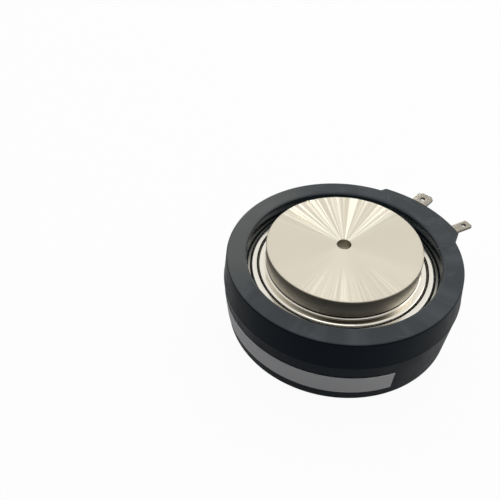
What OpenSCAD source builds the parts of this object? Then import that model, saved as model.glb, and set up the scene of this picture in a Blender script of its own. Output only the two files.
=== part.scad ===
/* [Overall] */
// Distance between the two contact faces
overall_h = 26; // [24:0.5:34]
// How far the upper contact face stands above the housing
upper_stand = 2.5; // [1:0.1:5]
// How far the lower contact face stands below the housing
lower_stand = 3.3; // [1:0.1:5]
// Clearance between pieces that sit in one another
fit = 0.05; // [0.02:0.01:0.1]

/* [Poles] */
// Diameter of each contact face
contact_d = 38.3; // [30:0.1:60]
// Chamfer around each contact face
contact_edge = 0.25; // [0.1:0.05:0.6]
// Diameter of the centring hole in each contact face
centre_hole_d = 3.5; // [2:0.1:5]
// Depth of the centring hole
centre_hole_depth = 2; // [1:0.1:3]
// Width of the shoulder on each pole that carries its diaphragm
pole_shoulder_w = 0.5; // [0.3:0.05:1]

/* [Diaphragms and weld rings] */
// Radial width of each diaphragm
diaphragm_w = 2; // [1.75:0.05:2.4]
// Thickness of the diaphragm sheet
diaphragm_t = 0.5; // [0.3:0.05:0.8]
// Width of the rolled edge around the diaphragm
roll_w = 0.9; // [0.3:0.05:1]
// Width of the collar that joins the diaphragm to its pole
collar_w = 0.25; // [0.2:0.05:0.5]
// Height of the collar above the sheet
collar_h = 0.45; // [0.2:0.05:0.8]
// How far the collar's top falls off to its edge
collar_fall = 0.12; // [0.05:0.01:0.2]
// Radial gap between a pole and the weld ring around it
weld_ring_gap = 0.8; // [0.4:0.05:1]
// Height of the diaphragm's seat above the recess floor
weld_seat_h = 0.8; // [0.75:0.05:1.6]
// Width of the groove around the diaphragm's edge
seam_w = 0.3; // [0.2:0.05:0.5]
// Depth of that groove
seam_depth = 0.5; // [0.2:0.05:0.7]
// Width of the flat land on the weld ring's shoulder
shoulder_land = 0.9; // [0.2:0.05:1.2]
// Height of the shoulder above the seat
shoulder_rise = 0.2; // [0:0.05:0.5]
// Width of the shoulder's fall outside its land
shoulder_w = 0.85; // [0.2:0.05:1]
// How far the shoulder falls off to the weld ring's flat edge
shoulder_fall = 0.5; // [0.2:0.05:0.7]
// Width of the ledge in the housing that carries each weld ring
ledge_w = 1.7; // [1.4:0.05:2.4]
// Length of the weld ring's skirt inside the housing
skirt_h = 0.8; // [0.4:0.05:1.4]

/* [Housing] */
// Depth of the recess in each face of the housing
recess_depth = 4.6; // [3.5:0.1:6]
// Gap between a weld ring and the wall of its recess
recess_gap = 0.3; // [0.2:0.05:2]
// Width of the flat rim around each recess
rim_w = 5; // [4:0.05:8]
// How far the side's ridge stands out past the upper rim
ridge_out = 0.9; // [0.2:0.05:1.5]
// Height of the narrow land on the ridge
ridge_land = 0.4; // [0.2:0.05:1]
// How far the lower rim is drawn in from the upper rim
lower_draw_in = 0; // [0:0.05:1]
// Rounding of the upper rim's outer edge
upper_edge_r = 0.5; // [0.2:0.05:1.5]
// Rounding of the lower rim's outer edge
lower_edge_r = 0.6; // [0.2:0.05:2]
// Rounding of the rims' inner edges
inner_edge_r = 0.8; // [0.2:0.05:1]

/* [Terminal nose] */
// Direction of the nose's middle, in degrees from +X
nose_az = 36.75; // [0:0.25:60]
// Half of the angle that the nose's outer face covers
nose_half = 22.25; // [21:0.25:35]
// Angle that each end of the nose flares out by at the rim
nose_flare = 6; // [0:0.5:12]
// How far the nose stands out past the upper rim
nose_out = 3.5; // [2:0.1:6]
// How far the nose's top lies below the upper rim
nose_drop = 1.5; // [0.8:0.1:3]
// Height of the nose
nose_h = 11; // [8:0.1:13]
// Rounding of the nose's outer edges
nose_edge_r = 0.5; // [0.2:0.05:1]

/* [Terminals] */
// How far the terminals' plane lies below the upper recess floor
tab_drop = 2.6; // [2.4:0.1:4]
// How far the tabs' middle lies clockwise of the nose's middle, in degrees
tab_shift = 1; // [0:0.5:4]
// Angle between the two tabs
tab_spread = 21; // [18:0.5:26]
// Thickness of each tab
tab_t = 0.8; // [0.5:0.1:1]
// Length of each tab inside the nose
tab_embed = 5; // [3:0.1:6]
// Width of the gate tab
gate_tab_w = 2.8; // [2.4:0.1:4]
// Length of the gate tab outside the nose
gate_reach = 10; // [6:0.1:14]
// Distance of the gate tab's hole from the tip
gate_hole_in = 1.9; // [1.6:0.1:4]
// Diameter of the gate tab's hole
gate_hole_d = 1.3; // [0.8:0.1:1.6]
// Corner cut of the gate tab
gate_corner = 0.3; // [0.1:0.05:0.8]
// Width of the cathode tab
cathode_tab_w = 4.8; // [4:0.1:6]
// Length of the cathode tab outside the nose
cathode_reach = 10.9; // [6:0.1:14]
// Distance of the cathode tab's hole from the tip
cathode_hole_in = 2.6; // [1.8:0.1:4]
// Diameter of the cathode tab's hole
cathode_hole_d = 1.5; // [1:0.1:2]
// Corner cut of the cathode tab
cathode_corner = 1; // [0.3:0.05:1.4]

/* [Silicon stack] */
// How far the wafer's edge reaches past the contact face
wafer_over = 0.9; // [0.6:0.05:2]
// Thickness of the silicon wafer
wafer_t = 0.6; // [0.3:0.05:1]
// Thickness of the anode disc
anode_disc_t = 2; // [1:0.1:2.5]
// Thickness of the cathode disc
cathode_disc_t = 1; // [0.6:0.1:1.5]
// How far the cathode disc's edge stays inside the wafer's edge
cathode_disc_in = 2; // [1:0.1:3]
// Diameter of the cathode disc's centre hole
cathode_disc_hole_d = 2.4; // [1.8:0.1:3]
// Radial width of the rubber seal outside the wafer's edge
seal_w = 0.9; // [0.5:0.05:1.5]
// Gap between the seal's lip and the cathode disc
seal_lip_gap = 0.3; // [0.1:0.05:0.6]
// How far the seal reaches down the anode disc's side
seal_skirt = 1.2; // [0.5:0.1:1.8]
// Radial wall of the locating ring
locating_w = 0.95; // [0.6:0.05:2]
// Room between the locating ring and the gate sleeve above it
locating_room = 0.5; // [0.3:0.05:1]

/* [Gate contact] */
// Height of the terminals' plane above the cathode disc
lead_rise = 1.9; // [1.5:0.1:2.5]
// Diameter of the bore in the upper pole that holds the gate contact
gate_bore_d = 5.2; // [4.6:0.1:7]
// Wall of the insulating bush
bush_wall = 0.8; // [0.6:0.05:1]
// Diameter of the pin's tip
pin_tip_d = 1.2; // [0.8:0.1:1.4]
// Height of the pin's head
pin_head_h = 1.6; // [1.2:0.1:2]
// Play between the pin's head and the bush
pin_play = 0.15; // [0.05:0.05:0.3]
// Diameter of the stem that guides the spring
pin_stem_d = 1; // [0.6:0.1:1.3]
// Height of the stem
pin_stem_h = 1.2; // [0.6:0.1:1.4]
// Mean diameter of the spring's coils
spring_d = 2; // [1.8:0.1:2.2]
// Diameter of the spring's wire
spring_wire_d = 0.3; // [0.2:0.02:0.36]
// Length of the spring
spring_len = 2.1; // [1.7:0.1:4]
// Number of coils
spring_turns = 4; // [3:1:5]
// Diameter of the gate lead
gate_lead_d = 0.8; // [0.5:0.1:1]
// Diameter of the sleeve on the gate lead
gate_sleeve_d = 1.4; // [1.2:0.1:1.8]
// Bare length of the gate lead at its tab
gate_lead_bare = 0.6; // [0.3:0.1:1.5]
// Diameter of the cathode lead
cathode_lead_d = 1; // [0.6:0.1:1.4]

/* [Label] */
// Height of the label
label_h = 6; // [4:0.5:7]
// Height of the label's lower edge above the lower rim
label_up = 3.3; // [1.5:0.1:3.5]
// Length of the label along the side
label_len = 64.5; // [30:0.5:80]
// Direction of the label's end, in degrees from +X
label_end_az = -72.5; // [-100:0.5:-30]
// Thickness of the label
label_t = 0.15; // [0.08:0.01:0.3]
// Thickness of the adhesive under the label
label_glue = 0.02; // [0.01:0.01:0.05]

/* [Hidden] */
$fn = 128;

// Overshoot of a cut past the face it opens
cut = 1;
// Steps of a rounded edge's arc
arc_steps = 6;
// Sides of the spring's wire and steps of each coil
wire_sides = 8;
coil_steps = 18;

// Radii, from the axis outwards
contact_r = contact_d / 2;
pole_r = contact_r + pole_shoulder_w;
diaphragm_r = contact_r + diaphragm_w;
weld_ring_in_r = pole_r + weld_ring_gap;
wafer_r = contact_r + wafer_over;
seal_r = wafer_r + seal_w;
bore_r = seal_r + fit + locating_w + fit;
weld_ring_r = bore_r + ledge_w;
recess_r = weld_ring_r + recess_gap;
rim_r = recess_r + rim_w;
ridge_r = rim_r + ridge_out;
lower_rim_r = rim_r - lower_draw_in;
nose_r = rim_r + nose_out;
tab_in_r = nose_r - tab_embed;
cathode_disc_r = wafer_r - cathode_disc_in;
gate_bore_r = gate_bore_d / 2;
bush_r = gate_bore_r - fit;
bush_in_r = bush_r - bush_wall;
pin_head_r = bush_in_r - pin_play;

// Heights, from the lower contact face upwards
lower_rim_z = lower_stand;
lower_floor_z = lower_rim_z + recess_depth;
upper_rim_z = overall_h - upper_stand;
upper_floor_z = upper_rim_z - recess_depth;
tab_z = upper_floor_z - tab_drop;
nose_top_z = upper_rim_z - nose_drop;
disc_top_z = tab_z - lead_rise;
wafer_top_z = disc_top_z - cathode_disc_t;
wafer_z = wafer_top_z - wafer_t;
anode_disc_z = wafer_z - anode_disc_t;
pin_head_z = tab_z - pin_head_h / 2;
pin_head_top_z = tab_z + pin_head_h / 2;
spring_top_z = pin_head_top_z + spring_len;
bush_top_z = spring_top_z + bush_wall;

// Directions
gate_az = nose_az - tab_shift - tab_spread / 2;
cathode_az = nose_az - tab_shift + tab_spread / 2;

// Draft of the two bands, measured from the ridge's land
upper_draft = atan(ridge_out / (upper_rim_z - tab_z - ridge_land / 2));
lower_draft = atan((ridge_r - lower_rim_r) / (tab_z - ridge_land / 2 - lower_rim_z));
label_angle = label_len / lower_rim_r * 180 / PI;

function arc(r, z, radius, from, to) = [
    for (i = [0 : arc_steps])
        let (a = from + (to - from) * i / arc_steps)
        [r + radius * cos(a), z + radius * sin(a)]
];

// Quarter ellipse from its low outer end to its high inner end
function rolled_edge(r, z, w, h) = [
    for (i = [0 : arc_steps])
        let (a = 90 * i / arc_steps)
        [r + w * cos(a), z + h * sin(a)]
];

// Centre radius of an edge arc that touches a rim and a side leaning by the draft
function edge_centre(rim, radius, draft) = rim - radius * (1 - sin(draft)) / cos(draft);

// Point at a radius and a direction from the axis
function at(r, az) = [r * cos(az), r * sin(az)];

function band_r(z) = lower_rim_r + (z - lower_rim_z) * tan(lower_draft);

module turned(outline) {
    rotate_extrude() polygon(outline);
}

// Mirrors a piece of the upper face to the lower face
module to_lower_face() {
    translate([0, 0, lower_floor_z]) mirror([0, 0, 1]) children();
}

module to_upper_face() {
    translate([0, 0, upper_floor_z]) children();
}

module housing_body() {
    turned(concat(
        [[bore_r, lower_floor_z], [recess_r, lower_floor_z]],
        arc(recess_r + inner_edge_r, lower_rim_z + inner_edge_r, inner_edge_r, 180, 270),
        arc(edge_centre(lower_rim_r, lower_edge_r, lower_draft), lower_rim_z + lower_edge_r,
            lower_edge_r, 270, 360 - lower_draft),
        [[ridge_r, tab_z - ridge_land / 2], [ridge_r, tab_z + ridge_land / 2]],
        arc(edge_centre(rim_r, upper_edge_r, upper_draft), upper_rim_z - upper_edge_r,
            upper_edge_r, upper_draft, 90),
        arc(recess_r + inner_edge_r, upper_rim_z - inner_edge_r, inner_edge_r, 90, 180),
        [[recess_r, upper_floor_z], [bore_r, upper_floor_z]]
    ));
}

// Plan of the nose from the axis outwards, wider at the rim than at its outer face
module nose_plan() {
    from = nose_az - nose_half;
    to = nose_az + nose_half;
    outside_r = nose_r / cos(nose_half);
    polygon([
        [0, 0], at(rim_r, from - nose_flare), at(nose_r, from),
        at(outside_r, from), at(outside_r, nose_az), at(outside_r, to),
        at(nose_r, to), at(rim_r, to + nose_flare)
    ]);
}

module nose() {
    nose_in_r = recess_r + rim_w / 2;
    nose_bottom_z = nose_top_z - nose_h;
    intersection() {
        turned(concat(
            [[nose_in_r, nose_bottom_z]],
            arc(nose_r - nose_edge_r, nose_bottom_z + nose_edge_r, nose_edge_r, 270, 360),
            arc(nose_r - nose_edge_r, nose_top_z - nose_edge_r, nose_edge_r, 0, 90),
            [[nose_in_r, nose_top_z]]
        ));
        translate([0, 0, nose_bottom_z]) linear_extrude(nose_h) nose_plan();
    }
}

module tab_slot(az, w) {
    rotate([0, 0, az])
        translate([tab_in_r, -w / 2 - fit, tab_z - tab_t / 2 - fit])
            cube([tab_embed + cut, w + 2 * fit, tab_t + 2 * fit]);
}

// Round bar along a radius at the terminals' plane
module radial_bar(az, from_r, to_r, d) {
    rotate([0, 0, az])
        translate([from_r, 0, tab_z])
            rotate([0, 90, 0])
                cylinder(h = to_r - from_r, d = d);
}

module housing_ring() {
    color([0.1, 0.12, 0.15])
        difference() {
            union() {
                housing_body();
                nose();
            }
            tab_slot(gate_az, gate_tab_w);
            tab_slot(cathode_az, cathode_tab_w);
            radial_bar(gate_az, bore_r - cut, tab_in_r + cut, gate_sleeve_d + 2 * fit);
            radial_bar(cathode_az, bore_r - cut, tab_in_r + cut, cathode_lead_d + 2 * fit);
        }
}

// Pole from its inner end at z = 0 up to its contact face
module pole(shoulder_z, h) {
    difference() {
        turned([
            [0, 0], [pole_r, 0], [pole_r, shoulder_z], [contact_r, shoulder_z],
            [contact_r, h - contact_edge], [contact_r - contact_edge, h], [0, h]
        ]);
        translate([0, 0, h - centre_hole_depth])
            cylinder(h = centre_hole_depth + cut, d = centre_hole_d);
    }
}

module upper_pole() {
    groove_w = gate_sleeve_d + 2 * fit;
    groove_h = lead_rise + gate_sleeve_d / 2 + fit;
    color([0.84, 0.81, 0.74])
        translate([0, 0, disc_top_z])
            difference() {
                pole(upper_floor_z + weld_seat_h - disc_top_z, overall_h - disc_top_z);
                translate([0, 0, -cut])
                    cylinder(h = bush_top_z + fit - disc_top_z + cut, d = gate_bore_d);
                rotate([0, 0, gate_az])
                    translate([0, -groove_w / 2, -cut])
                        cube([pole_r + cut, groove_w, groove_h + cut]);
            }
}

module lower_pole() {
    color([0.84, 0.81, 0.74])
        translate([0, 0, anode_disc_z])
            mirror([0, 0, 1])
                pole(anode_disc_z - lower_floor_z + weld_seat_h, anode_disc_z);
}

// Diaphragm above a recess floor at z = 0
module diaphragm() {
    in_r = contact_r + fit;
    sheet_z = weld_seat_h + diaphragm_t;
    collar_z = sheet_z + collar_h;
    turned(concat(
        [[in_r, weld_seat_h]],
        rolled_edge(diaphragm_r - roll_w, weld_seat_h, roll_w, diaphragm_t),
        [[in_r + collar_w, sheet_z], [in_r + collar_w, collar_z - collar_fall], [in_r, collar_z]]
    ));
}

module upper_diaphragm() {
    color([0.82, 0.79, 0.72]) to_upper_face() diaphragm();
}

module lower_diaphragm() {
    color([0.82, 0.79, 0.72]) to_lower_face() diaphragm();
}

// Weld ring standing on a recess floor at z = 0
module weld_ring() {
    seam_r = diaphragm_r + seam_w;
    land_r = seam_r + shoulder_land;
    edge_z = weld_seat_h - shoulder_fall;
    shoulder_z = weld_seat_h + shoulder_rise;
    turned(concat(
        [
            [weld_ring_in_r, -skirt_h], [bore_r - fit, -skirt_h], [bore_r - fit, 0],
            [weld_ring_r, 0], [weld_ring_r, edge_z]
        ],
        rolled_edge(land_r, edge_z, shoulder_w, shoulder_z - edge_z),
        [
            [seam_r, shoulder_z], [seam_r, weld_seat_h - seam_depth],
            [diaphragm_r, weld_seat_h - seam_depth], [diaphragm_r, weld_seat_h],
            [weld_ring_in_r, weld_seat_h]
        ]
    ));
}

module upper_weld_ring() {
    color([0.8, 0.78, 0.73]) to_upper_face() weld_ring();
}

module lower_weld_ring() {
    color([0.8, 0.78, 0.73]) to_lower_face() weld_ring();
}

module anode_disc() {
    color([0.55, 0.56, 0.58])
        translate([0, 0, anode_disc_z]) cylinder(h = anode_disc_t, r = wafer_r);
}

module silicon_wafer() {
    color([0.3, 0.32, 0.38])
        translate([0, 0, wafer_z]) cylinder(h = wafer_t, r = wafer_r);
}

module cathode_disc() {
    color([0.6, 0.6, 0.62])
        translate([0, 0, wafer_top_z])
            difference() {
                cylinder(h = cathode_disc_t, r = cathode_disc_r);
                translate([0, 0, -cut])
                    cylinder(h = cathode_disc_t + 2 * cut, d = cathode_disc_hole_d);
            }
}

module wafer_edge_seal() {
    lip_z = wafer_top_z + cathode_disc_t / 2;
    lip_r = cathode_disc_r + seal_lip_gap;
    color([0.75, 0.72, 0.66])
        turned([
            [wafer_r, wafer_z - seal_skirt], [seal_r, wafer_z - seal_skirt], [seal_r, lip_z],
            [lip_r, lip_z], [lip_r, wafer_top_z], [wafer_r, wafer_top_z]
        ]);
}

module locating_ring() {
    bottom_z = lower_floor_z + skirt_h;
    top_z = tab_z - gate_sleeve_d / 2 - locating_room;
    color([0.88, 0.87, 0.83])
        turned([
            [seal_r + fit, bottom_z], [bore_r - fit, bottom_z],
            [bore_r - fit, top_z], [seal_r + fit, top_z]
        ]);
}

module gate_bush() {
    slot_w = gate_lead_d + 2 * fit;
    slot_h = lead_rise + gate_lead_d / 2 + fit;
    color([0.92, 0.92, 0.88])
        translate([0, 0, disc_top_z])
            difference() {
                cylinder(h = bush_top_z - disc_top_z, r = bush_r);
                translate([0, 0, -cut])
                    cylinder(h = spring_top_z - disc_top_z + cut, r = bush_in_r);
                rotate([0, 0, gate_az])
                    translate([0, -slot_w / 2, -cut])
                        cube([bush_r + cut, slot_w, slot_h + cut]);
            }
}

module gate_pin() {
    tip_r = pin_tip_d / 2;
    stem_r = pin_stem_d / 2;
    stem_top_z = pin_head_top_z + pin_stem_h;
    color([0.8, 0.78, 0.72])
        turned([
            [0, wafer_top_z], [tip_r, wafer_top_z], [tip_r, pin_head_z], [pin_head_r, pin_head_z],
            [pin_head_r, pin_head_top_z], [stem_r, pin_head_top_z], [stem_r, stem_top_z],
            [0, stem_top_z]
        ]);
}

module gate_spring() {
    wire_r = spring_wire_d / 2;
    low_z = pin_head_top_z + wire_r;
    rise = spring_len - spring_wire_d;
    last = spring_turns * coil_steps;
    points = [
        for (i = [0 : last], j = [0 : wire_sides - 1])
            let (turn = 360 * i / coil_steps, a = 360 * j / wire_sides)
            let (r = spring_d / 2 + wire_r * cos(a))
            [r * cos(turn), r * sin(turn), low_z + rise * i / last + wire_r * sin(a)]
    ];
    start_face = [for (j = [0 : wire_sides - 1]) j];
    end_face = [for (j = [wire_sides - 1 : -1 : 0]) last * wire_sides + j];
    sides = [
        for (i = [0 : last - 1], j = [0 : wire_sides - 1])
            let (k = (j + 1) % wire_sides)
            [i * wire_sides + k, i * wire_sides + j, (i + 1) * wire_sides + j, (i + 1) * wire_sides + k]
    ];
    color([0.7, 0.7, 0.72]) polyhedron(points, concat([start_face], sides, [end_face]));
}

module gate_lead() {
    color([0.78, 0.76, 0.7]) radial_bar(gate_az, pin_head_r, tab_in_r, gate_lead_d);
}

module gate_sleeve() {
    color([0.9, 0.88, 0.8])
        difference() {
            radial_bar(gate_az, gate_bore_r, tab_in_r - gate_lead_bare, gate_sleeve_d);
            radial_bar(gate_az, gate_bore_r - cut, tab_in_r, gate_lead_d + 2 * fit);
        }
}

// Flat tab along a radius with cut corners and a hole near its tip
module tab(az, w, reach, hole_in, hole_d, corner) {
    tip_r = nose_r + reach;
    rotate([0, 0, az])
        translate([0, 0, tab_z - tab_t / 2])
            linear_extrude(tab_t)
                difference() {
                    polygon([
                        [tab_in_r, -w / 2], [tip_r - corner, -w / 2],
                        [tip_r, -w / 2 + corner], [tip_r, w / 2 - corner],
                        [tip_r - corner, w / 2], [tab_in_r, w / 2]
                    ]);
                    translate([tip_r - hole_in, 0]) circle(d = hole_d);
                }
}

module gate_tab() {
    color([0.78, 0.77, 0.74])
        tab(gate_az, gate_tab_w, gate_reach, gate_hole_in, gate_hole_d, gate_corner);
}

module cathode_lead() {
    color([0.78, 0.76, 0.7]) radial_bar(cathode_az, pole_r, tab_in_r, cathode_lead_d);
}

module cathode_tab() {
    color([0.78, 0.77, 0.74])
        tab(cathode_az, cathode_tab_w, cathode_reach, cathode_hole_in, cathode_hole_d, cathode_corner);
}

module type_label() {
    low_z = lower_rim_z + label_up;
    high_z = low_z + label_h;
    color([0.93, 0.93, 0.93])
        rotate([0, 0, label_end_az - label_angle])
            rotate_extrude(angle = label_angle)
                polygon([
                    [band_r(low_z) + label_glue, low_z],
                    [band_r(low_z) + label_glue + label_t, low_z],
                    [band_r(high_z) + label_glue + label_t, high_z],
                    [band_r(high_z) + label_glue, high_z]
                ]);
}

housing_ring();
upper_pole();
lower_pole();
upper_diaphragm();
lower_diaphragm();
upper_weld_ring();
lower_weld_ring();
anode_disc();
silicon_wafer();
cathode_disc();
wafer_edge_seal();
locating_ring();
gate_bush();
gate_pin();
gate_spring();
gate_lead();
gate_sleeve();
gate_tab();
cathode_lead();
cathode_tab();
type_label();
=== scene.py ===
import math

import bmesh
import bpy
from mathutils import Matrix, Vector


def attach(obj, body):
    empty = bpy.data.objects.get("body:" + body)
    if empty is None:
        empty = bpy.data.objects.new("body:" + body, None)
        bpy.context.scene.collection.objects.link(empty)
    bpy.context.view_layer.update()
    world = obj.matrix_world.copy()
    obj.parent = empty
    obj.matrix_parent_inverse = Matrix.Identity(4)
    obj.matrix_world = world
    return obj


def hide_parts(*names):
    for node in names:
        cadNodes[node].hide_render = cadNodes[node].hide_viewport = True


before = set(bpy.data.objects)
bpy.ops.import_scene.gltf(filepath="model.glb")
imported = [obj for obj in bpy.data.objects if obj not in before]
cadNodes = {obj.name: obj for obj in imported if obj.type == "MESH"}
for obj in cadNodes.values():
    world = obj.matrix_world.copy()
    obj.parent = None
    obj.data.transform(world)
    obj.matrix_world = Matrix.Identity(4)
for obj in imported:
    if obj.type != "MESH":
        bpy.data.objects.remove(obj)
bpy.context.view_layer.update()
mm = 0.001  # sizes below are in mm and angles in degrees, unless a note says otherwise
mergeGap = 0.0005 * mm
print("frame loaded:", len(cadNodes), "nodes")


# node tree helpers

def feed(tree, socket, value):
    if isinstance(value, bpy.types.NodeSocket):
        tree.links.new(value, socket)
    else:
        socket.default_value = value


def addNode(tree, kind, inputs=None, **settings):
    made = tree.nodes.new(kind)
    for key, value in settings.items():
        setattr(made, key, value)
    for key, value in (inputs or {}).items():
        feed(tree, made.inputs[key], value)
    return made


def calc(tree, operation, *values):
    return addNode(tree, "ShaderNodeMath", dict(enumerate(values)), operation=operation).outputs[0]


def vectorCalc(tree, operation, *values):
    made = addNode(tree, "ShaderNodeVectorMath", dict(enumerate(values)), operation=operation)
    return made.outputs["Value" if operation in ("LENGTH", "DOT_PRODUCT") else "Vector"]


def splitVector(tree, vector):
    return addNode(tree, "ShaderNodeSeparateXYZ", {0: vector}).outputs


def remap(tree, value, low, high, toLow=0.0, toHigh=1.0):
    inputs = {"Value": value, "From Min": low, "From Max": high, "To Min": toLow, "To Max": toHigh}
    return addNode(tree, "ShaderNodeMapRange", inputs, interpolation_type="SMOOTHSTEP").outputs["Result"]


def blendColour(tree, factor, first, second):
    return addNode(tree, "ShaderNodeMix", {0: factor, 6: first, 7: second}, data_type="RGBA").outputs[2]


def blendValue(tree, factor, first, second):
    return addNode(tree, "ShaderNodeMix", {0: factor, 2: first, 3: second}).outputs[0]


def noiseIn(tree, vector, scale, detail, roughness=0.5):
    inputs = {"Vector": vector, "Scale": scale, "Detail": detail, "Roughness": roughness}
    return addNode(tree, "ShaderNodeTexNoise", inputs).outputs[0]


def shaderGroup(name, inputs, outputs):
    tree = bpy.data.node_groups.new(name, "ShaderNodeTree")
    for label, value in inputs.items():
        socket = tree.interface.new_socket(label, in_out="INPUT", socket_type="NodeSocketFloat")
        socket.default_value = value
    for label, kind in outputs.items():
        tree.interface.new_socket(label, in_out="OUTPUT", socket_type="NodeSocket" + kind)
    return tree, tree.nodes.new("NodeGroupInput").outputs, tree.nodes.new("NodeGroupOutput").inputs


def useGroup(tree, group, inputs=None):
    return addNode(tree, "ShaderNodeGroup", inputs, node_tree=group).outputs


# shared effects

turningPattern = {
    "marks": {"Lines": {"share": 1.0, "detail": 3.0}, "Bands": {"share": 0.12, "detail": 1.0}},
    "roughness": 0.6,
}
grainPattern = {
    "grainDetail": 2.0,
    "cloudDetail": 3.0,
    "scuffDetail": 2.0,
    "roughness": 0.55,
    "scuffs": (
        {"turn": (0.3, 0.2, 0.5), "stretch": (0.25, 3.0, 1.0), "peak": (0.66, 0.74)},  # turns in radians
        {"turn": (0.1, 0.4, -0.7), "stretch": (3.0, 0.2, 1.0), "peak": (0.67, 0.75)},
    ),
}


def makePolarPlace():
    # where a point lies around the disc's axis: radius and height in mm, and its direction
    tree, _, out = shaderGroup("polarPlace", {}, {"Radius": "Float", "Height": "Float", "Around": "Vector"})
    parts = splitVector(tree, addNode(tree, "ShaderNodeTexCoord").outputs["Object"])
    flat = addNode(tree, "ShaderNodeCombineXYZ", {"X": parts["X"], "Y": parts["Y"]}).outputs[0]
    feed(tree, out["Radius"], calc(tree, "MULTIPLY", vectorCalc(tree, "LENGTH", flat), 1 / mm))
    feed(tree, out["Height"], calc(tree, "MULTIPLY", parts["Z"], 1 / mm))
    feed(tree, out["Around"], vectorCalc(tree, "NORMALIZE", flat))
    return tree


def makeTurningMarks():
    # the fine cutting lines of a lathe, and broader bands, both of uneven depth
    tree, given, out = shaderGroup("turningMarks", {"Place": 0.0, "Lines Per Mm": 6.0},
                                   {"Lines": "Float", "Bands": "Float"})
    for label, mark in turningPattern["marks"].items():
        scale = calc(tree, "MULTIPLY", given["Lines Per Mm"], mark["share"])
        inputs = {"W": given["Place"], "Scale": scale, "Detail": mark["detail"],
                  "Roughness": turningPattern["roughness"]}
        noise = addNode(tree, "ShaderNodeTexNoise", inputs, noise_dimensions="1D")
        feed(tree, out[label], noise.outputs[0])
    return tree


def makeSurfaceGrain():
    # moulded or plated skin: a fine grain, soft clouds and thin scuffs
    pattern = grainPattern
    tree, given, out = shaderGroup("surfaceGrain",
                                   {"Grain Per Mm": 4.0, "Clouds Per Mm": 0.15, "Scuffs Per Mm": 0.4},
                                   {"Grain": "Float", "Clouds": "Float", "Scuffs": "Float"})
    spot = addNode(tree, "ShaderNodeTexCoord").outputs["Object"]

    def noisePerMm(label, detail, vector):
        scale = calc(tree, "MULTIPLY", given[label], 1 / mm)
        return noiseIn(tree, vector, scale, detail, pattern["roughness"])

    feed(tree, out["Grain"], noisePerMm("Grain Per Mm", pattern["grainDetail"], spot))
    feed(tree, out["Clouds"], noisePerMm("Clouds Per Mm", pattern["cloudDetail"], spot))
    # two sets of thin streaks that cross, kept only where they peak
    peaks = []
    for scuff in pattern["scuffs"]:
        inputs = {"Vector": spot, "Rotation": scuff["turn"], "Scale": scuff["stretch"]}
        streaked = addNode(tree, "ShaderNodeMapping", inputs).outputs[0]
        streak = noisePerMm("Scuffs Per Mm", pattern["scuffDetail"], streaked)
        peaks.append(remap(tree, streak, *scuff["peak"]))
    feed(tree, out["Scuffs"], calc(tree, "MAXIMUM", *peaks))
    return tree


polarPlace = makePolarPlace()
turningMarks = makeTurningMarks()
surfaceGrain = makeSurfaceGrain()
print("shared effects made")


# materials: a pair of numbers in a look is a range, from the first to the second

def newMaterial(name):
    material = bpy.data.materials.new(name)
    material.use_nodes = True
    tree = material.node_tree
    return material, tree, tree.nodes["Principled BSDF"]


def setShader(tree, shader, values):
    for label, value in values.items():
        feed(tree, shader.inputs[label], value)


def bumped(tree, height, strength, depth):
    inputs = {"Height": height, "Strength": strength, "Distance": depth * mm}
    return addNode(tree, "ShaderNodeBump", inputs).outputs[0]


grooveTurn = 0.25  # of a full turn, so that the sheen spreads across the grooves


def turnedSheen(tree, anisotropy):
    # metal whose grooves run round the disc's axis
    tangent = addNode(tree, "ShaderNodeTangent", direction_type="RADIAL", axis="Z").outputs[0]
    return {"Metallic": 1.0, "Tangent": tangent, "Anisotropic": anisotropy,
            "Anisotropic Rotation": grooveTurn}


contactFaceLook = {
    "nickel": (0.70, 0.645, 0.535, 1),
    # the next two colours are painted highlight and painted shade for the rays of sheen
    "paintedRayHighlight": (0.93, 0.89, 0.765, 1),
    "paintedRayShade": (0.65, 0.595, 0.485, 1),
    "roughness": (0.17, 0.22),
    "anisotropy": 1.0,
    "linesPerMm": 7.0,
    "lineReach": (0.25, 0.75),
    "lineBump": 0.25,
    "lineDepth": 0.004,
    "rayCount": (13.0, 26.0),  # behind the centre and before it
    "rayDetail": 2.5,
    "rayEdge": (0.38, 0.62),
    "rayRoughness": (0.80, 1.15),
    "behind": (0.45, 0.72),
    "before": (-0.72, -0.88),
    "beforeShare": 0.32,
    "beforeFrom": (6.0, 15.0),
    "skin": {"Scuffs Per Mm": 0.25},
    "scuffed": (0.62, 0.58, 0.5, 1),
    "scuffShare": 0.12,
    "scuffRoughness": 0.03,
}


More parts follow.
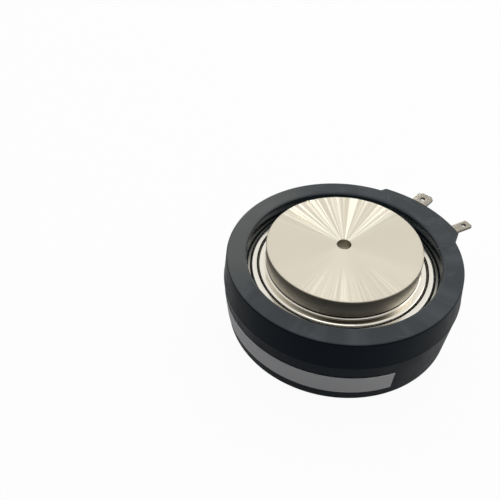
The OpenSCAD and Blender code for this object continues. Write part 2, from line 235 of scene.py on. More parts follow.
def makeContactFace():
    look = contactFaceLook
    material, tree, shader = newMaterial("turnedContactFace")
    polar = useGroup(tree, polarPlace)
    marks = useGroup(tree, turningMarks, {"Place": polar["Radius"], "Lines Per Mm": look["linesPerMm"]})
    scuffs = useGroup(tree, surfaceGrain, look["skin"])["Scuffs"]
    # painted sheen: pale rays of painted highlight, with painted shade between them, from the centre, strong
    # behind it and fine and faint before it
    side = splitVector(tree, polar["Around"])["Y"]
    behind = remap(tree, side, *look["behind"])
    before = calc(tree, "MULTIPLY", remap(tree, side, *look["before"]),
                  remap(tree, polar["Radius"], *look["beforeFrom"], 0.0, look["beforeShare"]))
    colour = look["nickel"]
    for count, reach in zip(look["rayCount"], (behind, before)):
        ray = remap(tree, noiseIn(tree, polar["Around"], count, look["rayDetail"]), *look["rayEdge"])
        between = remap(tree, ray, 1.0, 0.0)
        colour = blendColour(tree, calc(tree, "MULTIPLY", reach, ray), colour, look["paintedRayHighlight"])
        colour = blendColour(tree, calc(tree, "MULTIPLY", reach, between), colour, look["paintedRayShade"])
    colour = blendColour(tree, calc(tree, "MULTIPLY", scuffs, look["scuffShare"]), colour, look["scuffed"])
    rough = remap(tree, marks["Lines"], *look["lineReach"], *look["roughness"])
    rough = calc(tree, "MULTIPLY_ADD", scuffs, look["scuffRoughness"], rough)
    # the fine rays, made last, also change the roughness, all round the face
    rough = calc(tree, "MULTIPLY", rough, remap(tree, ray, 0.0, 1.0, *look["rayRoughness"]))
    setShader(tree, shader, {
        "Base Color": colour, "Roughness": rough, **turnedSheen(tree, look["anisotropy"]),
        "Normal": bumped(tree, marks["Lines"], look["lineBump"], look["lineDepth"])})
    return material


turnedSide = {"along": "Height", "linesPerMm": 5.0, "lineDepth": 0.001, "anisotropy": 0.4}
turnedFlat = {"along": "Radius", "linesPerMm": 4.0, "lineDepth": 0.0006, "anisotropy": 0.3}
platedSkin = {
    "skin": {"Clouds Per Mm": 0.2, "Scuffs Per Mm": 0.3},
    "bandReach": (0.35, 0.65),
    "cloudShare": 0.15,
    "lineReach": (0.3, 0.7),
    "lineBump": 0.2,
    "scuffRoughness": 0.03,
}
platedLooks = {
    "platedPoleSide": {
        **turnedSide, "colour": (0.95, 0.905, 0.80, 1), "shade": (0.80, 0.755, 0.66, 1),
        "roughness": (0.38, 0.46),
        # painted shade just under the contact faces
        "paintedShadeUnderContact": {"middle": 13.0, "reach": (10.2, 12.4), "colour": (0.46, 0.42, 0.35, 1)},
    },
    "platedFlange": {
        **turnedFlat, "colour": (0.84, 0.80, 0.705, 1), "shade": (0.74, 0.70, 0.615, 1),
        "roughness": (0.09, 0.14),
        # painted shade on the front of the flange
        "paintedFrontShade": {"toward": (0.05, -1.0, 0.0), "reach": (0.84, 0.98), "from": (19.48, 19.58),
                   "to": (20.6, 20.3), "colour": (0.17, 0.15, 0.125, 1)},
    },
    "platedWeldRing": {
        **turnedFlat, "colour": (0.86, 0.83, 0.75, 1), "shade": (0.76, 0.73, 0.66, 1),
        "roughness": (0.12, 0.18),
    },
    # painted shadow at the foot of the pole's side
    "paintedShadowPoleFoot": {
        **turnedSide, "colour": (0.115, 0.085, 0.065, 1), "shade": (0.06, 0.05, 0.04, 1),
        "roughness": (0.30, 0.38),
    },
    # painted shade on the ring's outer edge, down in the gap by the recess wall
    "paintedShadeRingEdge": {
        **turnedFlat, "colour": (0.52, 0.50, 0.44, 1), "shade": (0.42, 0.40, 0.35, 1),
        "roughness": (0.20, 0.28),
    },
}


def makePlatedMetal(name):
    # plating over turned metal, a little darker in bands and scuffed
    look = {**platedSkin, **platedLooks[name]}
    material, tree, shader = newMaterial(name)
    polar = useGroup(tree, polarPlace)
    marks = useGroup(tree, turningMarks, {"Place": polar[look["along"]], "Lines Per Mm": look["linesPerMm"]})
    grain = useGroup(tree, surfaceGrain, look["skin"])
    colour = blendColour(tree, remap(tree, marks["Bands"], *look["bandReach"]), look["shade"], look["colour"])
    clouds = calc(tree, "MULTIPLY", grain["Clouds"], look["cloudShare"])
    colour = blendColour(tree, clouds, colour, look["shade"])
    if "paintedShadeUnderContact" in look:
        # painted shade: darker away from the middle of the disc's height, towards each contact face
        paintedShadeUnderContact = look["paintedShadeUnderContact"]
        away = calc(tree, "ABSOLUTE", calc(tree, "SUBTRACT", polar["Height"], paintedShadeUnderContact["middle"]))
        colour = blendColour(tree, remap(tree, away, *paintedShadeUnderContact["reach"]), colour, paintedShadeUnderContact["colour"])
    if "paintedFrontShade" in look:
        # painted shade: dark on the front side, between two radii
        paintedFrontShade = look["paintedFrontShade"]
        beside = vectorCalc(tree, "DOT_PRODUCT", polar["Around"], paintedFrontShade["toward"])
        share = remap(tree, beside, *paintedFrontShade["reach"])
        for edge in ("from", "to"):
            share = calc(tree, "MULTIPLY", share, remap(tree, polar["Radius"], *paintedFrontShade[edge]))
        colour = blendColour(tree, share, colour, paintedFrontShade["colour"])
    rough = remap(tree, marks["Lines"], *look["lineReach"], *look["roughness"])
    rough = calc(tree, "MULTIPLY_ADD", grain["Scuffs"], look["scuffRoughness"], rough)
    setShader(tree, shader, {
        "Base Color": colour, "Roughness": rough, **turnedSheen(tree, look["anisotropy"]),
        "Normal": bumped(tree, marks["Lines"], look["lineBump"], look["lineDepth"])})
    return material


plasticLook = {
    "band": (0.0046, 0.0066, 0.0100, 1),
    "bandRoughness": (0.24, 0.36),
    "rim": (0.058, 0.059, 0.060, 1),
    "rimRoughness": (0.56, 0.68),
    "flat": (0.6, 0.95),
    "outside": (-0.1, 0.1),  # this, inside and the painted edge highlight's reach are mm from the recess wall
    "inside": (0.3, 0.1),
    "recessRoughness": 0.16,
    # pale wear, also used for the painted highlight on the rims' inner edges
    "wearAndEdgeHighlight": (0.098, 0.104, 0.111, 1),
    "wornShare": 0.75,
    "mottled": (0.45, 0.75),
    "flowScale": 3.3,
    "flowDetail": 4.0,
    # the next three set a painted highlight along the rims' inner edges
    "paintedEdgeHighlight": (0.7, 0.5),
    "paintedEdgeHighlightFacing": (0.3, 0.6),
    "paintedEdgeHighlightShare": 0.6,
    # painted light on one side of the rim
    "paintedSideLight": (0.125, 0.127, 0.122, 1),
    "paintedSideLightTurn": 155.0,
    "paintedSideLightReach": (0.5, 0.95),
    "skin": {"Grain Per Mm": 5.0, "Clouds Per Mm": 0.2, "Scuffs Per Mm": 0.3},
    "cloudReach": (0.3, 0.7),
    "scuffRoughness": 0.1,
    "grainBump": 0.35,
    "grainDepth": 0.010,
    "specular": 0.21,
    "sheen": (0.44, 0.72, 1.0, 1),
}


def makeMouldedPlastic(recess):
    look = plasticLook
    material, tree, shader = newMaterial("mouldedHousingPlastic")
    grain = useGroup(tree, surfaceGrain, look["skin"])
    polar = useGroup(tree, polarPlace)
    fromWall = calc(tree, "SUBTRACT", polar["Radius"], recess)
    outside = remap(tree, fromWall, *look["outside"])
    # the flat rims and the nose's top are matt and paler than the glossy bands
    facing = splitVector(tree, addNode(tree, "ShaderNodeTexCoord").outputs["Normal"])["Z"]
    rim = calc(tree, "MULTIPLY", remap(tree, calc(tree, "ABSOLUTE", facing), *look["flat"]), outside)
    # flow marks and wear make the rims mottled, and their inner edges are painted pale as a painted highlight
    flow = noiseIn(tree, polar["Around"], look["flowScale"], look["flowDetail"])
    mottled = calc(tree, "MAXIMUM", remap(tree, flow, *look["mottled"]),
                   remap(tree, grain["Clouds"], *look["mottled"]))
    mottled = calc(tree, "MULTIPLY", calc(tree, "MAXIMUM", mottled, grain["Scuffs"]), look["wornShare"])
    paintedEdgeHighlight = calc(tree, "MULTIPLY", remap(tree, fromWall, *look["paintedEdgeHighlight"]),
                  remap(tree, facing, *look["paintedEdgeHighlightFacing"], 0.0, look["paintedEdgeHighlightShare"]))
    colour = blendColour(tree, rim, look["band"], look["rim"])
    colour = blendColour(tree, calc(tree, "MULTIPLY", rim, mottled), colour, look["wearAndEdgeHighlight"])
    colour = blendColour(tree, calc(tree, "MULTIPLY", outside, paintedEdgeHighlight), colour, look["wearAndEdgeHighlight"])
    # painted light: one side of the rim is painted paler
    turn = math.radians(look["paintedSideLightTurn"])
    beside = vectorCalc(tree, "DOT_PRODUCT", polar["Around"], (math.cos(turn), math.sin(turn), 0))
    paintedSideLight = calc(tree, "MULTIPLY", rim, remap(tree, beside, *look["paintedSideLightReach"]))
    colour = blendColour(tree, paintedSideLight, colour, look["paintedSideLight"])
    gloss = remap(tree, grain["Clouds"], *look["cloudReach"], *look["bandRoughness"])
    gloss = blendValue(tree, remap(tree, fromWall, *look["inside"]), gloss, look["recessRoughness"])
    matt = remap(tree, grain["Clouds"], *look["cloudReach"], *look["rimRoughness"])
    rough = blendValue(tree, rim, gloss, matt)
    rough = calc(tree, "MULTIPLY_ADD", grain["Scuffs"], look["scuffRoughness"], rough)
    setShader(tree, shader, {
        "Base Color": colour, "Roughness": rough,
        "Specular IOR Level": look["specular"], "Specular Tint": look["sheen"],
        "Normal": bumped(tree, grain["Grain"], look["grainBump"], look["grainDepth"])})
    return material


labelLook = {
    "film": (0.74, 0.74, 0.76, 1),
    "soiled": (0.60, 0.60, 0.60, 1),
    "skin": {"Grain Per Mm": 8.0, "Clouds Per Mm": 0.25, "Scuffs Per Mm": 0.5},
    "cloudReach": (0.45, 0.85),
    "cloudShare": 0.2,
    "scuffShare": 0.2,
    "grainReach": (0.3, 0.7),
    "roughness": (0.38, 0.52),
    "grainBump": 0.2,
    "grainDepth": 0.008,
    "specular": 0.4,
}


def makeLabelFilm():
    look = labelLook
    material, tree, shader = newMaterial("labelFilm")
    grain = useGroup(tree, surfaceGrain, look["skin"])
    dirt = remap(tree, grain["Clouds"], *look["cloudReach"], 0.0, look["cloudShare"])
    dirt = calc(tree, "MULTIPLY_ADD", grain["Scuffs"], look["scuffShare"], dirt)
    setShader(tree, shader, {
        "Base Color": blendColour(tree, dirt, look["film"], look["soiled"]),
        "Roughness": remap(tree, grain["Grain"], *look["grainReach"], *look["roughness"]),
        "Specular IOR Level": look["specular"],
        "Normal": bumped(tree, grain["Grain"], look["grainBump"], look["grainDepth"])})
    return material


plainSkin = {
    "skin": {"Grain Per Mm": 3.0, "Clouds Per Mm": 0.3, "Scuffs Per Mm": 0.5},
    "cloudReach": (0.35, 0.75),
    "scuffShare": 0.3,
    "grainReach": (0.3, 0.7),
    "scuffRoughness": 0.08,
    "grainBump": 0.25,
    "grainDepth": 0.006,
    "metallic": 0.0,
}
plainLooks = {
    "weldSeam": {"colour": (0.060, 0.050, 0.036, 1), "shade": (0.030, 0.026, 0.020, 1),
                 "roughness": (0.45, 0.6), "metallic": 0.6},
    "tinnedTab": {"colour": (0.37, 0.342, 0.29, 1), "shade": (0.32, 0.292, 0.246, 1),
                  "roughness": (0.36, 0.46), "metallic": 1.0, "grainDepth": 0.0008},
    "lappedMolybdenum": {"colour": (0.42, 0.42, 0.44, 1), "shade": (0.33, 0.33, 0.35, 1),
                         "roughness": (0.35, 0.5), "metallic": 1.0},
    "siliconWafer": {"colour": (0.10, 0.11, 0.15, 1), "shade": (0.07, 0.08, 0.12, 1),
                     "roughness": (0.08, 0.16), "metallic": 0.6},
    "siliconeSeal": {"colour": (0.62, 0.58, 0.50, 1), "shade": (0.50, 0.46, 0.40, 1),
                     "roughness": (0.45, 0.6)},
    "paleInsulator": {"colour": (0.78, 0.76, 0.70, 1), "shade": (0.66, 0.64, 0.58, 1),
                      "roughness": (0.4, 0.55)},
    "springSteel": {"colour": (0.56, 0.55, 0.53, 1), "shade": (0.44, 0.43, 0.42, 1),
                    "roughness": (0.22, 0.34), "metallic": 1.0},
    "tinnedWire": {"colour": (0.72, 0.69, 0.64, 1), "shade": (0.58, 0.55, 0.50, 1),
                   "roughness": (0.25, 0.38), "metallic": 1.0},
}


def makePlain(name):
    # one finish with a fine grain, for small and inner pieces
    look = {**plainSkin, **plainLooks[name]}
    material, tree, shader = newMaterial(name)
    grain = useGroup(tree, surfaceGrain, look["skin"])
    clouds = remap(tree, grain["Clouds"], *look["cloudReach"])
    scuffs = calc(tree, "MULTIPLY", grain["Scuffs"], look["scuffShare"])
    colour = blendColour(tree, clouds, look["colour"], look["shade"])
    colour = blendColour(tree, scuffs, colour, look["shade"])
    rough = remap(tree, grain["Grain"], *look["grainReach"], *look["roughness"])
    rough = calc(tree, "MULTIPLY_ADD", grain["Scuffs"], look["scuffRoughness"], rough)
    setShader(tree, shader, {
        "Base Color": colour, "Roughness": rough, "Metallic": look["metallic"],
        "Normal": bumped(tree, grain["Grain"], look["grainBump"], look["grainDepth"])})
    return material


innerFinishes = {
    "anode_disc": "lappedMolybdenum",
    "cathode_disc": "lappedMolybdenum",
    "silicon_wafer": "siliconWafer",
    "wafer_edge_seal": "siliconeSeal",
    "locating_ring": "paleInsulator",
    "gate_bush": "paleInsulator",
    "gate_sleeve": "paleInsulator",
    "gate_pin": "springSteel",
    "gate_spring": "springSteel",
    "gate_lead": "tinnedWire",
    "cathode_lead": "tinnedWire",
}
finishes = {name: makePlatedMetal(name) for name in platedLooks}
finishes.update({name: makePlain(name) for name in plainLooks})
for node, finish in innerFinishes.items():
    cadNodes[node].data.materials.clear()
    cadNodes[node].data.materials.append(finishes[finish])
print("metal and inner finishes made:", len(finishes))


# turned forms: a profile of (radius, height) points carried round the axis

def makeTurnedForm():
    tree = bpy.data.node_groups.new("turnedForm", "GeometryNodeTree")
    kinds = {"Profile": "Geometry", "Segments": "Int", "Start": "Float", "Sweep": "Float",
             "Finish": "Material"}
    sockets = {}
    for label, kind in kinds.items():
        socket = tree.interface.new_socket(label, in_out="INPUT", socket_type="NodeSocket" + kind)
        sockets[label] = socket.identifier
    tree.interface.new_socket("Form", in_out="OUTPUT", socket_type="NodeSocketGeometry")
    given = tree.nodes.new("NodeGroupInput").outputs
    out = tree.nodes.new("NodeGroupOutput").inputs

    def whole(operation, a, b):
        return addNode(tree, "FunctionNodeIntegerMath", {0: a, 1: b}, operation=operation).outputs[0]

    # a flat grid with a row for each profile point and a column for each step round the axis
    points = addNode(tree, "GeometryNodeAttributeDomainSize", {"Geometry": given["Profile"]},
                     component="MESH").outputs["Point Count"]
    columns = whole("ADD", given["Segments"], 1)
    size = {"Size X": 1.0, "Size Y": 1.0, "Vertices X": points, "Vertices Y": columns}
    form = addNode(tree, "GeometryNodeMeshGrid", size).outputs["Mesh"]
    index = addNode(tree, "GeometryNodeInputIndex").outputs[0]
    row = whole("DIVIDE_FLOOR", index, columns)
    column = whole("MODULO", index, columns)
    position = addNode(tree, "GeometryNodeInputPosition").outputs[0]
    sample = addNode(tree, "GeometryNodeSampleIndex",
                     {"Geometry": given["Profile"], "Value": position, "Index": row},
                     data_type="FLOAT_VECTOR", domain="POINT")
    profile = splitVector(tree, sample.outputs[0])
    share = calc(tree, "DIVIDE", column, given["Segments"])
    angle = calc(tree, "ADD", calc(tree, "MULTIPLY", share, given["Sweep"]), given["Start"])
    angle = calc(tree, "RADIANS", angle)
    spot = addNode(tree, "ShaderNodeCombineXYZ", {
        "X": calc(tree, "MULTIPLY", profile["X"], calc(tree, "COSINE", angle)),
        "Y": calc(tree, "MULTIPLY", profile["X"], calc(tree, "SINE", angle)),
        "Z": profile["Z"]}).outputs[0]
    for kind, inputs in (("SetPosition", {"Position": spot}), ("MergeByDistance", {"Distance": mergeGap}),
                         ("SetShadeSmooth", {}), ("RealizeInstances", {}),
                         ("SetMaterial", {"Material": given["Finish"]})):
        form = addNode(tree, "GeometryNode" + kind, {"Geometry": form, **inputs}).outputs[0]
    feed(tree, out["Form"], form)
    return tree, sockets


turnedForm, turnedSockets = makeTurnedForm()


def addObject(name, data):
    obj = bpy.data.objects.new(name, data)
    bpy.context.scene.collection.objects.link(obj)
    return obj


def evaluatedMesh(obj):
    return bpy.data.meshes.new_from_object(obj.evaluated_get(bpy.context.evaluated_depsgraph_get()))


def settle(obj):
    # the evaluated shape as a plain mesh, modifiers gone
    mesh = evaluatedMesh(obj)
    obj.modifiers.clear()
    obj.data = mesh


def closeAndSmooth(obj, sharpDegrees=28):
    made = bmesh.new()
    made.from_mesh(obj.data)
    bmesh.ops.remove_doubles(made, verts=made.verts, dist=mergeGap)
    openEdges = [edge for edge in made.edges if edge.is_boundary]
    if openEdges:
        bmesh.ops.holes_fill(made, edges=openEdges)
    bmesh.ops.recalc_face_normals(made, faces=made.faces)
    made.to_mesh(obj.data)
    made.free()
    obj.data.polygons.foreach_set("use_smooth", [True] * len(obj.data.polygons))
    obj.data.set_sharp_from_angle(angle=math.radians(sharpDegrees))
    return obj


def held(points, gap=0.04, mostShare=0.2):
    # two more points close to the ends of each long line, so that flat faces shade flat
    made = [points[0]]
    for (r0, z0), (r1, z1) in zip(points, points[1:]):
        share = gap / max(math.hypot(r1 - r0, z1 - z0), 1e-6)
        if share < mostShare:
            made += [(r0 + (r1 - r0) * k, z0 + (z1 - z0) * k) for k in (share, 1 - share)]
        made.append((r1, z1))
    return made


def turned(name, points, material, segments, start=0.0, sweep=360.0):
    points = held(points)
    lines = [(i, i + 1) for i in range(len(points) - 1)]
    mesh = bpy.data.meshes.new(name + "Profile")
    mesh.from_pydata([(r * mm, 0, z * mm) for r, z in points], lines, [])
    obj = addObject(name, mesh)
    modifier = obj.modifiers.new("turnedForm", "NODES")
    modifier.node_group = turnedForm
    values = {"Segments": segments, "Start": start, "Sweep": sweep, "Finish": material}
    for label, value in values.items():
        modifier[turnedSockets[label]] = value
    settle(obj)
    obj.data.materials.clear()
    obj.data.materials.append(material)
    obj.data.polygons.foreach_set("material_index", [0] * len(obj.data.polygons))
    return closeAndSmooth(obj)


def arc(r, z, width, fromDegrees, toDegrees, steps=6, height=None):
    # part of a circle, or of an ellipse where a height is given
    height = height or width
    spread = [math.radians(fromDegrees + (toDegrees - fromDegrees) * i / steps) for i in range(steps + 1)]
    return [(r + width * math.cos(a), z + height * math.sin(a)) for a in spread]


def rolledEdge(r, z, width, height):
    return arc(r, z, width, 0, 90, steps=12, height=height)


def place(obj, node):
    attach(obj, "root")
    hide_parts(node)
    return obj


# housing ring

housing = {
    "rim": 29.0, "ridge": 29.9, "lowerRim": 29.0, "recess": 24.0, "bore": 22.0,
    "bottom": 3.3, "top": 23.5, "ridgeHeight": 16.3, "ridgeLand": 0.4, "recessDepth": 4.6,
    "upperEdge": 0.5, "lowerEdge": 0.6, "innerEdge": 0.8, "ridgeEdge": 0.12, "ridgeTurn": 60,
    "noseRadius": 32.5, "noseFrom": 14.5, "noseTo": 59.0, "noseFlare": 6.0,
    "noseTop": 22.0, "noseHeight": 11.0, "noseEdge": 0.5,
    "segments": 288, "noseSegments": 48,
}
lowFloor = housing["bottom"] + housing["recessDepth"]
highFloor = housing["top"] - housing["recessDepth"]


def lowerSlope():
    # how fast the lower band widens from its rim to the ridge
    h = housing
    return (h["ridge"] - h["lowerRim"]) / (h["ridgeHeight"] - h["ridgeLand"] / 2 - h["bottom"])


def ringOutline():
    h = housing
    lowerDraft = math.atan(lowerSlope())
    upperDraft = math.atan((h["ridge"] - h["rim"]) / (h["top"] - h["ridgeHeight"] - h["ridgeLand"] / 2))

    def edgeCentre(rim, radius, draft):
        return rim - radius * (1 - math.sin(draft)) / math.cos(draft)

    inner, ridgeEdge, halfLand, ridgeTurn = h["innerEdge"], h["ridgeEdge"], h["ridgeLand"] / 2, h["ridgeTurn"]
    ridge = h["ridge"] - ridgeEdge
    points = [(h["bore"], lowFloor), (h["recess"], lowFloor)]
    points += arc(h["recess"] + inner, h["bottom"] + inner, inner, 180, 270)
    points += arc(edgeCentre(h["lowerRim"], h["lowerEdge"], lowerDraft), h["bottom"] + h["lowerEdge"],
                  h["lowerEdge"], 270, 360 - math.degrees(lowerDraft), steps=10)
    points += arc(ridge, h["ridgeHeight"] - halfLand + ridgeEdge, ridgeEdge, -ridgeTurn, 0, steps=3)
    points += arc(ridge, h["ridgeHeight"] + halfLand - ridgeEdge, ridgeEdge, 0, ridgeTurn, steps=3)
    points += arc(edgeCentre(h["rim"], h["upperEdge"], upperDraft), h["top"] - h["upperEdge"],
                  h["upperEdge"], math.degrees(upperDraft), 90, steps=8)
    points += arc(h["recess"] + inner, h["top"] - inner, inner, 90, 180)
    return points + [(h["recess"], highFloor), (h["bore"], highFloor), (h["bore"], lowFloor)]


def noseOutline():
    h = housing
    low, high, edge = h["noseTop"] - h["noseHeight"], h["noseTop"], h["noseEdge"]
    within = (h["recess"] + h["rim"]) / 2
    points = [(within, low)]
    points += arc(h["noseRadius"] - edge, low + edge, edge, 270, 360)
    points += arc(h["noseRadius"] - edge, high - edge, edge, 0, 90)
    return points + [(within, high), (within, low)]


def flareEnds(nose):
    # the nose grows wider from its outer face to the rim
    h = housing
    middle, half = (h["noseFrom"] + h["noseTo"]) / 2, (h["noseTo"] - h["noseFrom"]) / 2
    for vertex in nose.data.vertices:
        x, y, z = vertex.co
        radius, turn = math.hypot(x, y), math.degrees(math.atan2(y, x)) - middle
        inward = (h["noseRadius"] - radius / mm) / (h["noseRadius"] - h["rim"])
        turn = math.radians(middle + turn * (1 + h["noseFlare"] / half * inward))
        vertex.co = (radius * math.cos(turn), radius * math.sin(turn), z)


def makeHousing():
    h = housing
    plastic = makeMouldedPlastic(h["recess"])
    ring = turned("housing", ringOutline(), plastic, h["segments"])
    nose = turned("noseBlock", noseOutline(), plastic, h["noseSegments"], h["noseFrom"],
                  h["noseTo"] - h["noseFrom"])
    flareEnds(nose)
    union = ring.modifiers.new("nose", "BOOLEAN")
    union.operation, union.solver, union.object = "UNION", "EXACT", nose
    settle(ring)
    bpy.data.objects.remove(nose)
    return closeAndSmooth(ring)


housingPiece = place(makeHousing(), "housing_ring")
print("housing made:", len(housingPiece.data.polygons), "faces")


# poles, diaphragms and weld rings, made for the upper face and turned over for the lower one

metalRings = {
    "height": 26.0, "contact": 19.15, "pole": 19.65, "edge": 0.25, "edgeCrown": (0.3, 0.25), "foot": 1.4,
    "hole": 1.75, "holeDepth": 2.0, "holeEdge": 0.08,
    "diaphragm": 21.15, "sheet": 0.5, "roll": 0.9, "collar": 0.25, "collarHeight": 0.45, "collarFall": 0.12,
    "seat": 0.8, "ringInner": 20.45, "ringOuter": 23.7, "seam": 0.3, "seamDepth": 0.5, "seamEdge": 0.06,
    "land": 0.9, "shoulder": 0.85, "shoulderRise": 0.2, "shoulderFall": 0.5, "skirt": 0.8, "fit": 0.05,
    "stackTop": 14.4, "stackBottom": 10.8, "gateBore": 2.6, "gateBoreTop": 20.05,
    "segments": 256,
}
highSeat = highFloor + metalRings["seat"]
lowSeat = lowFloor - metalRings["seat"]
# limits of a face's normal, and mm from the contact and from the groove's walls
facePaint = {"flat": 0.95, "upright": 0.05, "near": 0.05}
seamPaint = {"inside": 0.02, "outside": 0.01}


def poleOutline(face, seat, inner, bore):
    # from the centring hole over the contact face, down the side and along the inner end
    m, edge = metalRings, metalRings["edge"]
    outward = math.copysign(1, face - seat)
    across, down = m["edgeCrown"]
    return [
        (0, face - outward * m["holeDepth"]), (m["hole"], face - outward * m["holeDepth"]),
        (m["hole"], face - outward * m["holeEdge"]), (m["hole"] + m["holeEdge"], face),
        (m["contact"] - edge, face), (m["contact"] - across * edge, face - outward * down * edge),
        (m["contact"], face - outward * edge), (m["contact"], seat + outward * m["foot"]),
        (m["contact"], seat), (m["pole"], seat), (m["pole"], inner)] + bore


def flangeOutline():
    m, low, high = metalRings, highSeat, highSeat + metalRings["sheet"]
    inner = m["contact"] + m["fit"]
    collar, collarTop = inner + m["collar"], high + m["collarHeight"]
    points = [(inner, low)] + rolledEdge(m["diaphragm"] - m["roll"], low, m["roll"], m["sheet"])
    return points + [(collar, high), (collar, collarTop - m["collarFall"]), (inner, collarTop), (inner, low)]


def weldRingOutline():
    m, low, lip = metalRings, highSeat, metalRings["seamEdge"]
    bore, skirt = housing["bore"] - m["fit"], highFloor - m["skirt"]
    seamIn, seamOut, seamFloor = m["diaphragm"], m["diaphragm"] + m["seam"], low - m["seamDepth"]
    edgeHeight, top = low - m["shoulderFall"], low + m["shoulderRise"]
    points = [(m["ringInner"], skirt), (bore, skirt), (bore, highFloor), (m["ringOuter"], highFloor),
              (m["ringOuter"], edgeHeight)]
    points += rolledEdge(seamOut + m["land"], edgeHeight, m["shoulder"], top - edgeHeight)
    return points + [(seamOut + lip, top), (seamOut, top - lip), (seamOut, seamFloor), (seamIn, seamFloor),
                     (seamIn, low), (m["ringInner"], low), (m["ringInner"], skirt)]


def overTurned(points):
    # the same outline about the lower recess floor, upside down
    return [(r, lowFloor - (z - highFloor)) for r, z in points]


def paintPole(obj, face, seat):
    # turned contact face, and a foot of the side painted dark as painted shadow next to the flange
    for material in (contactFace, finishes["paintedShadowPoleFoot"]):
        obj.data.materials.append(material)
    low, high = sorted((seat, seat + math.copysign(metalRings["foot"], face - seat)))
    for polygon in obj.data.polygons:
        height, facing = polygon.center.z / mm, abs(polygon.normal.z)
        if facing > facePaint["flat"] and abs(height - face) < facePaint["near"]:
            polygon.material_index = 1
        elif facing < facePaint["upright"] and low < height < high:
            polygon.material_index = 2


def paintRing(obj):
    # the groove around the diaphragm is dark from the weld, and the ring's outer edge is painted darker as
    # painted shade
    for material in (finishes["weldSeam"], finishes["paintedShadeRingEdge"]):
        obj.data.materials.append(material)
    inner, outer = metalRings["diaphragm"], metalRings["diaphragm"] + metalRings["seam"]
    edge = outer + metalRings["land"] + metalRings["shoulder"]
    for polygon in obj.data.polygons:
        radius = math.hypot(*polygon.center.xy) / mm
        if inner - seamPaint["inside"] < radius < outer + seamPaint["outside"]:
            polygon.material_index = 1
        elif radius > edge:
            polygon.material_index = 2


def makePole(side, face, seat, inner, bore):
    pole = turned(side + "Pole", poleOutline(face, seat, inner, bore), finishes["platedPoleSide"],
                  metalRings["segments"])
    paintPole(pole, face, seat)
    return pole


def makeMetal():
    m, made = metalRings, {}
    gateBore = [(m["gateBore"], m["stackTop"]), (m["gateBore"], m["gateBoreTop"]), (0, m["gateBoreTop"])]
    made["upper_pole"] = makePole("upper", m["height"], highSeat, m["stackTop"], gateBore)
    made["lower_pole"] = makePole("lower", 0.0, lowSeat, m["stackBottom"], [(0, m["stackBottom"])])
    for side in ("upper", "lower"):
        flange, ring = flangeOutline(), weldRingOutline()
        if side == "lower":
            flange, ring = overTurned(flange), overTurned(ring)
        diaphragm = turned(side + "Diaphragm", flange, finishes["platedFlange"], m["segments"])
        weldRing = turned(side + "WeldRing", ring, finishes["platedWeldRing"], m["segments"])
        paintRing(weldRing)
        made.update({side + "_diaphragm": diaphragm, side + "_weld_ring": weldRing})
    return made


contactFace = makeContactFace()
for node, piece in makeMetal().items():
    place(piece, node)
print("poles, diaphragms and weld rings made")


# push-on tabs

tabs = {
    "gate_tab": {"width": 2.8, "turn": 25.25, "tip": 42.5, "holeIn": 1.9, "hole": 1.3, "corner": 0.3},
    "cathode_tab": {"width": 4.8, "turn": 46.25, "tip": 43.4, "holeIn": 2.6, "hole": 1.5, "corner": 1.0},
}
tabStock = {
    "inner": 27.5, "height": 16.3, "thickness": 0.8, "edge": 0.07, "edgeSteps": 2, "holePoints": 40,
    "sharpDegrees": 40,
}


def makeTab(name, tab):
    half, corner, tip, stock = tab["width"] / 2, tab["corner"], tab["tip"], tabStock
    outline = [(stock["inner"], -half), (tip - corner, -half), (tip, corner - half), (tip, half - corner),
               (tip - corner, half), (stock["inner"], half)]
    turns = [math.tau * i / stock["holePoints"] for i in range(stock["holePoints"])]
    radius = tab["hole"] / 2
    hole = [(tip - tab["holeIn"] + radius * math.cos(a), radius * math.sin(a)) for a in turns]
    curve = bpy.data.curves.new(name + "Outline", "CURVE")
    curve.dimensions, curve.fill_mode = "2D", "BOTH"
    for ring in (outline, hole):
        spline = curve.splines.new("POLY")
        spline.points.add(len(ring) - 1)
        for point, (x, y) in zip(spline.points, ring):
            point.co = (x * mm, y * mm, 0, 1)
        spline.use_cyclic_u = True
    edge = stock["edge"] * mm
    curve.extrude = stock["thickness"] / 2 * mm - edge
    curve.bevel_depth, curve.bevel_resolution = edge, stock["edgeSteps"]
    curve.offset = -edge
    flat = addObject(name + "Flat", curve)
    mesh = evaluatedMesh(flat)
    bpy.data.objects.remove(flat)
    turn = Matrix.Rotation(math.radians(tab["turn"]), 4, "Z")
    mesh.transform(Matrix.Translation((0, 0, stock["height"] * mm)) @ turn)
    mesh.materials.clear()
    mesh.materials.append(finishes["tinnedTab"])
    return closeAndSmooth(addObject(name, mesh), stock["sharpDegrees"])


for node, tab in tabs.items():
    place(makeTab(node.replace("_t", "T"), tab), node)
print("tabs made")


# label on the lower band

typeLabel = {
    "bottom": 6.6, "height": 6.0, "end": -72.5, "sweep": 127.9,
    "thickness": 0.15, "glue": 0.02, "edge": 0.04, "segments": 128,
}


def makeLabel():
    tape, slope = typeLabel, lowerSlope()

    def band(z):
        # radius of the label's inner face
        return housing["lowerRim"] + (z - housing["bottom"]) * slope + tape["glue"]

    low, high, thick, edge = tape["bottom"], tape["bottom"] + tape["height"], tape["thickness"], tape["edge"]
    points = [(band(low), low), (band(low) + thick - edge, low), (band(low + edge) + thick, low + edge),
              (band(high - edge) + thick, high - edge), (band(high) + thick - edge, high),
              (band(high), high), (band(low), low)]
    start = tape["end"] - tape["sweep"]
    return turned("typeLabel", points, makeLabelFilm(), tape["segments"], start, tape["sweep"])


place(makeLabel(), "type_label")
print("label made")


# camera at the photograph's place, with its focal length in pixels and its clip distances in metres

view = {
    "elevation": 42.733, "roll": -0.991, "offset": (23.106, 0.426, 138.095),
    "focal": 556.4, "image": 500.0, "sensor": 36.0, "clip": (0.01, 20.0),
}


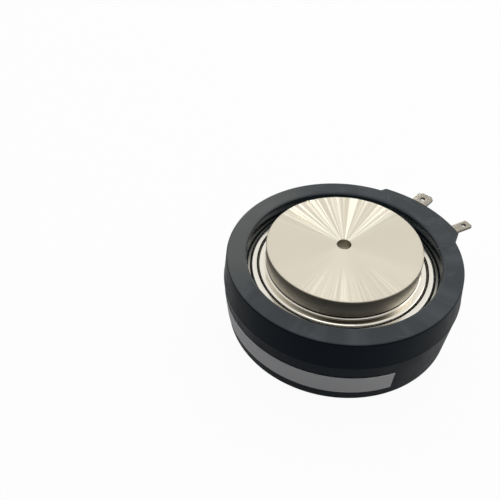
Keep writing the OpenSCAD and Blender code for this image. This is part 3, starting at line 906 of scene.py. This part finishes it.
def makeCamera():
    e, r = math.radians(view["elevation"]), math.radians(view["roll"])
    level = Matrix(((1, 0, 0), (0, -math.sin(e), -math.cos(e)), (0, math.cos(e), -math.sin(e))))
    lean = Matrix(((math.cos(r), -math.sin(r), 0), (math.sin(r), math.cos(r), 0), (0, 0, 1)))
    axes = lean @ level
    data = bpy.data.cameras.new("photoCamera")
    data.sensor_width = view["sensor"]
    data.lens = view["focal"] / view["image"] * view["sensor"]
    data.clip_start, data.clip_end = view["clip"]
    obj = addObject("photoCamera", data)
    eye = Vector((0, 0, housing["top"])) - axes.transposed() @ Vector(view["offset"])
    turn = Matrix((axes[0], -axes[1], -axes[2])).transposed().to_4x4()
    obj.matrix_world = Matrix.Translation(eye * mm) @ turn
    bpy.context.scene.camera = obj


makeCamera()
print("camera made")


# floor, room and lamps, with places and sizes in metres

floorLook = {
    "half": 4.0,
    "colour": (0.30, 0.30, 0.30, 1),
    "seen": (0.95, 0.95, 0.95, 1),
    "glow": 0.95,
    "gloss": 0.15,
}
room = {
    "front": (0.155, 0.163, 0.172, 1),
    "back": (0.98, 0.98, 0.97, 1),
    "backToward": (0.12, 0.79, 0.60),
    "backReach": (-0.08, 0.75),
    "card": (0.20, 0.198, 0.19, 1),
    "cardToward": (-0.17, -0.72, 0.67),
    "cardReach": (0.72, 0.95),
    "seen": (1, 1, 1, 1),
}
lamps = {
    "rightWindow": {"at": (0.60, 0.05, 0.32), "aim": (0, 0, 0.02), "size": (0.62, 0.50), "power": 0.85,
                    "colour": (1.0, 0.97, 0.91)},
    "overhead": {"at": (0.0, 0.13, 0.80), "aim": (0, 0, 0.02), "size": (0.30, 0.28), "power": 0.32},
}
fans = {
    "back": {"count": 12, "from": 36.0, "to": 140.0, "tilt": 13.0, "power": 0.032},
    "front": {"count": 6, "from": -116.0, "to": -66.0, "tilt": 13.0, "power": 0.002},
}
fanLamp = {"distance": 0.70, "size": (0.012, 0.012), "tints": ((0.97, 0.95, 1.0), (1.0, 0.98, 0.84))}


def makeFloor():
    half = floorLook["half"]
    corners = [(-half, -half, 0), (half, -half, 0), (half, half, 0), (-half, half, 0)]
    mesh = bpy.data.meshes.new("floor")
    mesh.from_pydata(corners, [], [(0, 1, 2, 3)])
    floor = addObject("floor", mesh)
    material, tree, shader = newMaterial("paleFloor")
    tree.nodes.remove(shader)
    path = addNode(tree, "ShaderNodeLightPath").outputs
    shade = blendColour(tree, path["Is Camera Ray"], floorLook["colour"], floorLook["seen"])
    diffuse = addNode(tree, "ShaderNodeBsdfDiffuse", {"Color": shade}).outputs[0]
    glow = addNode(tree, "ShaderNodeEmission", {"Strength": 1.0}).outputs[0]
    mirrored = calc(tree, "MAXIMUM", path["Is Glossy Ray"], path["Is Transmission Ray"])
    factor = calc(tree, "MULTIPLY_ADD", path["Is Camera Ray"], floorLook["glow"],
                  calc(tree, "MULTIPLY", mirrored, floorLook["gloss"]))
    mixed = addNode(tree, "ShaderNodeMixShader", {0: factor, 1: diffuse, 2: glow}).outputs[0]
    feed(tree, tree.nodes["Material Output"].inputs["Surface"], mixed)
    mesh.materials.append(material)


def makeRoom():
    # bright behind and above the disc and dim towards the camera
    world = bpy.data.worlds.new("studioWorld")
    bpy.context.scene.world = world
    world.use_nodes = True
    tree = world.node_tree
    toward = addNode(tree, "ShaderNodeTexCoord").outputs["Generated"]
    colour = room["front"]
    for part in ("back", "card"):
        facing = vectorCalc(tree, "DOT_PRODUCT", toward, room[part + "Toward"])
        colour = blendColour(tree, remap(tree, facing, *room[part + "Reach"]), colour, room[part])
    path = addNode(tree, "ShaderNodeLightPath").outputs
    colour = blendColour(tree, path["Is Camera Ray"], colour, room["seen"])
    feed(tree, tree.nodes["Background"].inputs["Color"], colour)


def addLamp(name, at, aim, size, power, colour=(1, 1, 1)):
    lamp = bpy.data.lights.new(name, "AREA")
    lamp.shape = "RECTANGLE"
    lamp.size, lamp.size_y = size
    lamp.energy, lamp.color = power, colour
    turn = (Vector(at) - Vector(aim)).to_track_quat("Z", "Y").to_matrix().to_4x4()
    addObject(name, lamp).matrix_world = Matrix.Translation(at) @ turn


def addFan(side, fan):
    # small lamps, each set where a groove tilted towards one ray of the contact face mirrors it to the camera
    centre = Vector((0, 0, metalRings["height"] * mm))
    toEye = (bpy.context.scene.camera.matrix_world.translation - centre).normalized()
    tilt = math.radians(fan["tilt"])
    for i in range(fan["count"]):
        ray = math.radians(fan["from"] + (fan["to"] - fan["from"]) * i / (fan["count"] - 1))
        groove = Vector((math.sin(tilt) * math.cos(ray), math.sin(tilt) * math.sin(ray), math.cos(tilt)))
        at = centre + fanLamp["distance"] * (2 * groove.dot(toEye) * groove - toEye)
        addLamp("%sFan%d" % (side, i), at, centre, fanLamp["size"], fan["power"], fanLamp["tints"][i % 2])


makeFloor()
makeRoom()
for name, lamp in lamps.items():
    addLamp(name, **lamp)
for side, fan in fans.items():
    addFan(side, fan)
bpy.context.scene.view_settings.view_transform = "Standard"
print("studio made")
